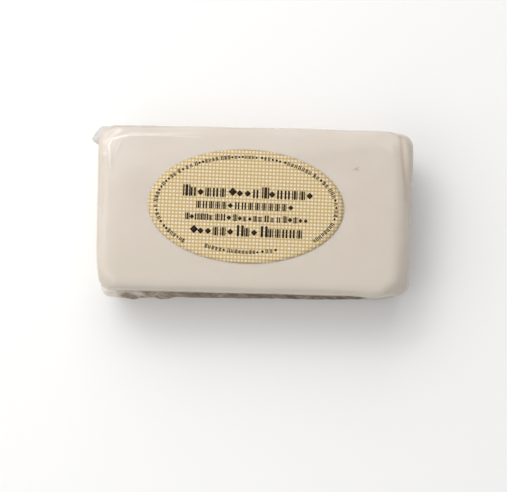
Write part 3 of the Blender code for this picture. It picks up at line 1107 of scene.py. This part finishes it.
def make_cheese(block):
    """The cheese inside the film: the whole form, a little smaller, with no fin."""
    material = pressed_goat_cheese()
    piece, brick, points = whole_form("cheese", block, CHEESE_INSET, CHEESE_CELL, 0.0, material)
    dents = DENT_DEPTH * soft_noise(brick, DENT_SIZE, DENT_SEED) - DENT_DEPTH
    off = (points[:, 0] - crease_place(points[:, 1])) / CREASE_HALF_WIDTH
    groove = CREASE_DEPTH * np.exp(-(off**2))
    groove *= smooth_step(points[:, 1], CREASE_END, CREASE_END + CREASE_FADE)
    groove *= smooth_step(points[:, 2], FACE_FROM, FACE_FULL)
    moved = (dents - groove) * smooth_step(points[:, 2], 0.0, EDGE_DROP)
    moved += CHEESE_FOLD_SHARE * fold_height(points)
    push_out(piece.data, moved)
    dress(piece, "wrapped_cheese", "tomme_pack")


def seam_root_rise(x, y):
    """How far above the seam the fin's film leaves the wall there."""
    front, flap, _, ear = wall_sides(x, y)
    gusset = smooth_step(x, *GUSSET_EDGES[:2]) * (1 - smooth_step(x, *GUSSET_EDGES[2:]))
    return ROOT_RISE + GUSSET_RISE * front * gusset + FLAP_RISE * flap + EAR_RISE * ear


def make_film_skin(block):
    """The film on the cheese: tight on the faces, drawn out to the seam, pleated near it."""
    material = clear_shrink_film()
    piece, brick, points = whole_form("film_skin", block, 0.0, FILM_CELL, FIN_SHARE, material)
    near_seam = np.exp(-(((brick[:, 2] - SEAM_HEIGHT) / PLEAT_REACH) ** 2))
    near_seam *= np.clip(np.hypot(*outward(brick[:, 0], brick[:, 1])), 0, 1)
    pleats = -PLEAT_DEPTH * abs(soft_noise(brick, PLEAT_SIZE, PLEAT_SEED)) * near_seam
    push_out(piece.data, pleats + fold_height(points))
    dress(piece, "clear_film", "tomme_pack")


def seam_line():
    """The seam's line round the block as a closed loop of points, each with the fin's reach."""
    half_x = LENGTH / 2 - EDGE_ROUND
    half_y = WIDTH / 2 - EDGE_ROUND
    corners = [(half_x, -half_y, -90), (half_x, half_y, 0), (-half_x, half_y, 90), (-half_x, -half_y, 180)]
    outline = []
    for x, y, start in corners:
        for step in range(CORNER_STEPS + 1):
            turn = math.radians(start + 90 * step / CORNER_STEPS)
            outline.append((x + EDGE_ROUND * math.cos(turn), y + EDGE_ROUND * math.sin(turn)))
    outline = np.array(outline + outline[:1])
    lengths = lengths_along(outline)
    marks = np.linspace(0, lengths[-1], SEAM_STEPS, endpoint=False)
    x, y = (np.interp(marks, lengths, way) for way in outline.T)
    seam = np.full_like(x, SEAM_HEIGHT)
    root = settle(np.stack([x, y, seam + seam_root_rise(x, y)], axis=1), 0.0)
    tip = settle(np.stack([x, y, seam], axis=1), 0.0)
    facing = np.stack([*outward(x, y), np.zeros_like(x)], axis=1)
    ragged = np.where(y < EDGE_ROUND - WIDTH / 2, FRONT_RAGGED, SEAM_RAGGED)
    kept = 1 - ragged * (0.5 + 0.5 * soft_noise(tip, RAGGED_SIZE, RAGGED_SEED))
    tip += facing * (seam_reach(x, y) * kept)[:, None]
    mesh = bpy.data.meshes.new("seam line")
    mesh.from_pydata(root, [(i, (i + 1) % SEAM_STEPS) for i in range(SEAM_STEPS)], [])
    mesh.attributes.new("reach", "FLOAT_VECTOR", "POINT").data.foreach_set(
        "vector",
        (tip - root).astype(np.float32).ravel(),
    )
    return mesh


def make_film_seam():
    """The sealed seam that stands out all round, with the ear at one corner."""
    piece = grow("film_seam", seam_line(), fin_tree(), {"Material": gathered_film()})
    dress(piece, "clear_film", "tomme_pack")


def place_on_label(piece, lift):
    """Turns and moves a flat mesh of the label onto the face, that far above it."""
    points = read_points(piece.data)
    turned = points @ np.array(Matrix.Rotation(LABEL_TURN, 3, "Z")).T + np.array(LABEL_CENTRE)
    turned[:, 2] = points[:, 2] + lift + face_height(turned[:, 0], turned[:, 1])
    write_points(piece.data, turned)


def make_label_paper():
    """The oval of paper, as rings of points from its middle to its edge, above and below."""
    turns = np.arange(PAPER_SIDES) / PAPER_SIDES * math.tau
    rim = np.stack([np.cos(turns) * LABEL_LENGTH / 2, np.sin(turns) * LABEL_WIDTH / 2], axis=1)
    points = []
    for level in (PAPER_THICKNESS, 0.0):
        points.append((0.0, 0.0, level))
        for ring in range(1, PAPER_RINGS + 1):
            points += [(x, y, level) for x, y in rim * ring / PAPER_RINGS]
    one_side = 1 + PAPER_RINGS * PAPER_SIDES
    faces = []
    for base, way in ((0, 1), (one_side, -1)):
        for side in range(PAPER_SIDES):
            after = (side + 1) % PAPER_SIDES
            faces.append((base, base + 1 + side, base + 1 + after)[::way])
            for ring in range(PAPER_RINGS - 1):
                inner = base + 1 + ring * PAPER_SIDES
                outer = inner + PAPER_SIDES
                faces.append((inner + side, outer + side, outer + after, inner + after)[::way])
    top = one_side - PAPER_SIDES
    foot = top + one_side
    for side in range(PAPER_SIDES):
        after = (side + 1) % PAPER_SIDES
        faces.append((foot + side, foot + after, top + after, top + side))
    mesh = bpy.data.meshes.new("label_paper")
    mesh.from_pydata(points, [], faces)
    mesh.materials.append(woven_print_paper())
    piece = new_object("label_paper", mesh)
    place_on_label(piece, PAPER_LIFT)
    dress(piece, "label_paper", "label")


def polyline_mesh(lines):
    """A mesh of open lines of points."""
    points = []
    edges = []
    for line in lines:
        start = len(points)
        points += [(x, y, 0.0) for x, y in line]
        edges += [(start + i, start + i + 1) for i in range(len(line) - 1)]
    mesh = bpy.data.meshes.new("guide")
    mesh.from_pydata(points, edges, [])
    return mesh


def make_print(name, lines, tree, ink, seed, spacing, height, first, least):
    """Marks of ink along these lines, laid on the paper."""
    values = {
        "Spacing": spacing,
        "Mark Height": height,
        "First Height": first,
        "Lowest Share": least,
        "Seed": seed,
        "Material": ink,
    }
    piece = grow(name, polyline_mesh(lines), tree, values)
    place_on_label(piece, PAPER_LIFT + PAPER_THICKNESS)
    dress(piece, "label_ink")


def make_print_rows(tree, ink):
    """The straight rows of marks across the label."""
    for number, row in enumerate(PRINT_ROWS, start=1):
        base, start, groups, gap, height, first, least, spacing = row
        lines = []
        x = start
        for group in groups:
            lines.append([(x * MM, base * MM), ((x + group) * MM, base * MM)])
            x += group + gap
        sizes = (spacing * MM, height * MM, first * MM, least)
        make_print(f"print_row_{number}", lines, tree, ink, number, *sizes)


def make_print_arcs(tree, ink):
    """The rows of small marks along the label's edge."""
    for number, (start, end, groups) in enumerate(ARC_ROWS, start=1):
        turns = np.radians(np.linspace(start, end, ARC_POINTS))
        out_x = LABEL_LENGTH / 2 - ARC_INSET
        out_y = LABEL_WIDTH / 2 - ARC_INSET
        arc = np.stack([out_x * np.cos(turns), out_y * np.sin(turns)], axis=1)
        lengths = lengths_along(arc)
        lines = []
        at = 0.0
        for group in groups:
            marks = np.linspace(at, at + group * MM, GROUP_POINTS)
            at = marks[-1] + ARC_GAP
            if marks[-1] < lengths[-1]:
                lines.append(np.stack([np.interp(marks, lengths, way) for way in arc.T], axis=1))
        sizes = (ARC_SPACING, ARC_HEIGHT, ARC_HEIGHT, ARC_LEAST)
        make_print(f"print_arc_{number}", lines, tree, ink, number, *sizes)


# The studio


def make_camera():
    """The photograph's view: from above the face and a little in front of it."""
    ahead = Vector((0, math.cos(CAMERA_TILT), -math.sin(CAMERA_TILT)))
    level = Vector((1, 0, 0))
    upward = Vector((0, math.sin(CAMERA_TILT), math.cos(CAMERA_TILT)))
    right = level * math.cos(CAMERA_ROLL) + upward * math.sin(CAMERA_ROLL)
    top = upward * math.cos(CAMERA_ROLL) - level * math.sin(CAMERA_ROLL)
    data = bpy.data.cameras.new("camera")
    data.lens = CAMERA_LENS
    data.clip_start = 0.01
    camera = new_object("camera", data)
    turn = Matrix((right, top, -ahead)).transposed().to_4x4()
    camera.matrix_world = Matrix.Translation(CAMERA_PLACE) @ turn
    bpy.context.scene.camera = camera


def make_light():
    """A narrow and a broad softbox behind, one near at the left, one in front, and even fill."""
    for name, (way, distance, width, height, power) in SOFTBOXES.items():
        data = bpy.data.lights.new(name, "AREA")
        data.shape = "RECTANGLE"
        data.size = width
        data.size_y = height
        data.energy = power
        softbox = new_object(name, data)
        turn = way.to_track_quat("Z", "Y").to_matrix().to_4x4()
        softbox.matrix_world = Matrix.Translation(way.normalized() * distance) @ turn
    world = bpy.data.worlds.new("fill")
    world.use_nodes = True
    sky = world.node_tree.nodes["Background"]
    sky.inputs["Color"].default_value = linear("#f6f7fa")
    sky.inputs["Strength"].default_value = FILL_STRENGTH
    bpy.context.scene.world = world
    bpy.context.scene.view_settings.view_transform = "Standard"


def make_floor():
    """A plain pale table top."""
    mesh = bpy.data.meshes.new("floor")
    corners = [(x * FLOOR_HALF, y * FLOOR_HALF, 0) for x, y in ((-1, -1), (1, -1), (1, 1), (-1, 1))]
    mesh.from_pydata(corners, [], [(0, 1, 2, 3)])
    material, tree, surface, _ = new_material("white table top, matt paint")
    coat(tree, surface, {"Base Color": linear("#f4f3f1"), "Roughness": 0.8})
    mesh.materials.append(material)
    new_object("floor", mesh)


make_camera()
make_light()
make_floor()
block = rounded_block_tree()
make_cheese(block)
make_film_skin(block)
make_film_seam()
make_label_paper()
marks = marks_tree()
ink = dark_label_ink()
make_print_rows(marks, ink)
make_print_arcs(marks, ink)
